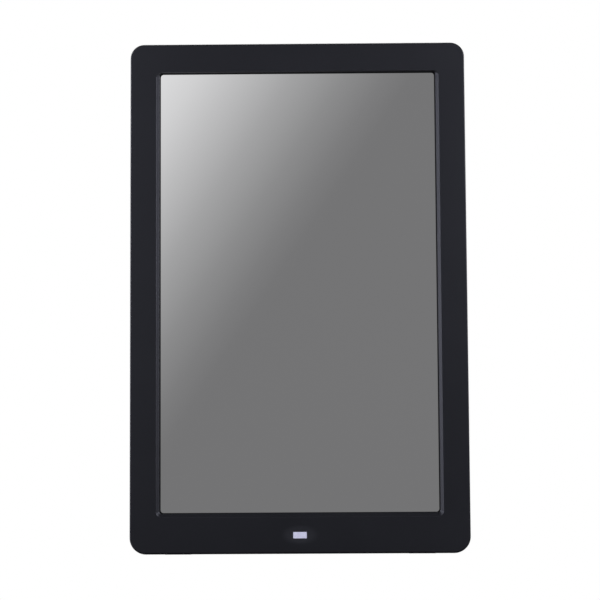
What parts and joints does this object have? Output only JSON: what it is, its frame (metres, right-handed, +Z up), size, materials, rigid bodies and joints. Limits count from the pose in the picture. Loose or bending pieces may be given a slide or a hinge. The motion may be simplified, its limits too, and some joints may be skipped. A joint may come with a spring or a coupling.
{
  "type": "digital photo frame",
  "caption": "Upright digital photo frame with a slim black bezel, a large rectangular screen, an infrared window, rear keys and a folding leg on a turntable.",
  "frame": {"origin": "on the floor, at the centre of the whole object's footprint with the leg open", "axes": "+Z up, the screen faces -Y and leans back 15 degrees, +X to the viewer's right seen from the front"},
  "size_m": [0.2006, 0.1042, 0.2961],
  "materials": {
    "bezel_plastic": "fine matte texture",
    "cover_plastic": "moulded texture",
    "key_plastic": "smooth",
    "window_plastic": "translucent",
    "rubber": "matte",
    "screen_film": "anti-glare",
    "glass": "smooth",
    "tray_steel": "rolled sheet",
    "screw_steel": "black zinc",
    "plated_steel": "plated",
    "aluminium": "turned",
    "white_film": "diffusing",
    "clear_acrylic": "polished",
    "circuit_board": "solder mask",
    "chip_plastic": "moulded",
    "socket_plastic": "smooth",
    "cone_paper": "pressed",
    "magnet": "nickel",
    "red_lead": "insulation",
    "grey_lead": "insulation",
    "flat_cable": "flat cable",
    "label": "satin",
    "led": "clear"
  },
  "bodies": {
    "frame": {"front_bezel": "bezel_plastic", "ir_window": "window_plastic", "polariser_film": "screen_film", "lcd_glass": "glass", "lcd_frame": "tray_steel", "diffuser_films": "white_film", "light_guide": "clear_acrylic", "reflector_sheet": "white_film", "led_bar": "led", "lcd_tray": "tray_steel", "panel_driver_board": "circuit_board", "panel_brackets": "tray_steel", "panel_screws": "screw_steel", "ir_board": "circuit_board", "ir_receiver": "chip_plastic", "indicator_led": "led", "ir_board_screws": "screw_steel", "main_board": "circuit_board", "board_chips": "chip_plastic", "capacitors": "aluminium", "usb_port": "plated_steel", "mini_usb_port": "plated_steel", "card_slot": "plated_steel", "headphone_jack": "socket_plastic", "dc_jack": "socket_plastic", "cell_holder": "socket_plastic", "clock_cell": "plated_steel", "board_screws": "screw_steel", "key_board": "circuit_board", "key_switches": "chip_plastic", "key_board_screws": "screw_steel", "speaker_baskets": "chip_plastic", "speaker_cones": "cone_paper", "speaker_magnets": "magnet", "speaker_leads": "red_lead", "key_lead": "flat_cable", "ir_lead": "grey_lead", "lcd_cable": "flat_cable", "rear_cover": "cover_plastic", "case_screws": "screw_steel", "rating_label": "label", "base_feet": "rubber", "side_feet": "rubber"},
    "swivel": {"turntable": "cover_plastic", "friction_washer": "white_film", "clamp_ring": "tray_steel", "clamp_screws": "screw_steel", "hinge_pin": "plated_steel", "hinge_washers": "plated_steel"},
    "leg": {"stand_leg": "cover_plastic", "leg_foot": "rubber"},
    "key_power": {"key_power": "key_plastic"},
    "key_menu": {"key_menu": "key_plastic"},
    "key_back": {"key_back": "key_plastic"},
    "key_up": {"key_up": "key_plastic"},
    "key_down": {"key_down": "key_plastic"},
    "key_left": {"key_left": "key_plastic"},
    "key_right": {"key_right": "key_plastic"},
    "key_enter": {"key_enter": "key_plastic"}
  },
  "joints": [
    {"name": "stand_swivel", "type": "hinge", "parent": "frame", "child": "swivel", "pos_m": [0, 0.0005, 0.09297], "axis": [0, 0.9659, -0.2588], "range_deg": [0, 90]},
    {"name": "leg_hinge", "type": "hinge", "parent": "swivel", "child": "leg", "pos_m": [0, 0.01236, 0.10636], "axis": [1, 0, 0], "range_deg": [-35, 0]},
    {"name": "key_power_press", "type": "slide", "parent": "frame", "child": "key_power", "axis": [0, -0.9659, 0.2588], "range_m": [0, 0.0005], "stiffness_N_per_m": 900, "springref_m": -0.0004},
    {"name": "key_menu_press", "type": "slide", "parent": "frame", "child": "key_menu", "axis": [0, -0.9659, 0.2588], "range_m": [0, 0.0005], "stiffness_N_per_m": 900, "springref_m": -0.0004},
    {"name": "key_back_press", "type": "slide", "parent": "frame", "child": "key_back", "axis": [0, -0.9659, 0.2588], "range_m": [0, 0.0005], "stiffness_N_per_m": 900, "springref_m": -0.0004},
    {"name": "key_up_press", "type": "slide", "parent": "frame", "child": "key_up", "axis": [0, -0.9659, 0.2588], "range_m": [0, 0.0005], "stiffness_N_per_m": 900, "springref_m": -0.0004},
    {"name": "key_down_press", "type": "slide", "parent": "frame", "child": "key_down", "axis": [0, -0.9659, 0.2588], "range_m": [0, 0.0005], "stiffness_N_per_m": 900, "springref_m": -0.0004},
    {"name": "key_left_press", "type": "slide", "parent": "frame", "child": "key_left", "axis": [0, -0.9659, 0.2588], "range_m": [0, 0.0005], "stiffness_N_per_m": 900, "springref_m": -0.0004},
    {"name": "key_right_press", "type": "slide", "parent": "frame", "child": "key_right", "axis": [0, -0.9659, 0.2588], "range_m": [0, 0.0005], "stiffness_N_per_m": 900, "springref_m": -0.0004},
    {"name": "key_enter_press", "type": "slide", "parent": "frame", "child": "key_enter", "axis": [0, -0.9659, 0.2588], "range_m": [0, 0.0005], "stiffness_N_per_m": 900, "springref_m": -0.0004}
  ]
}
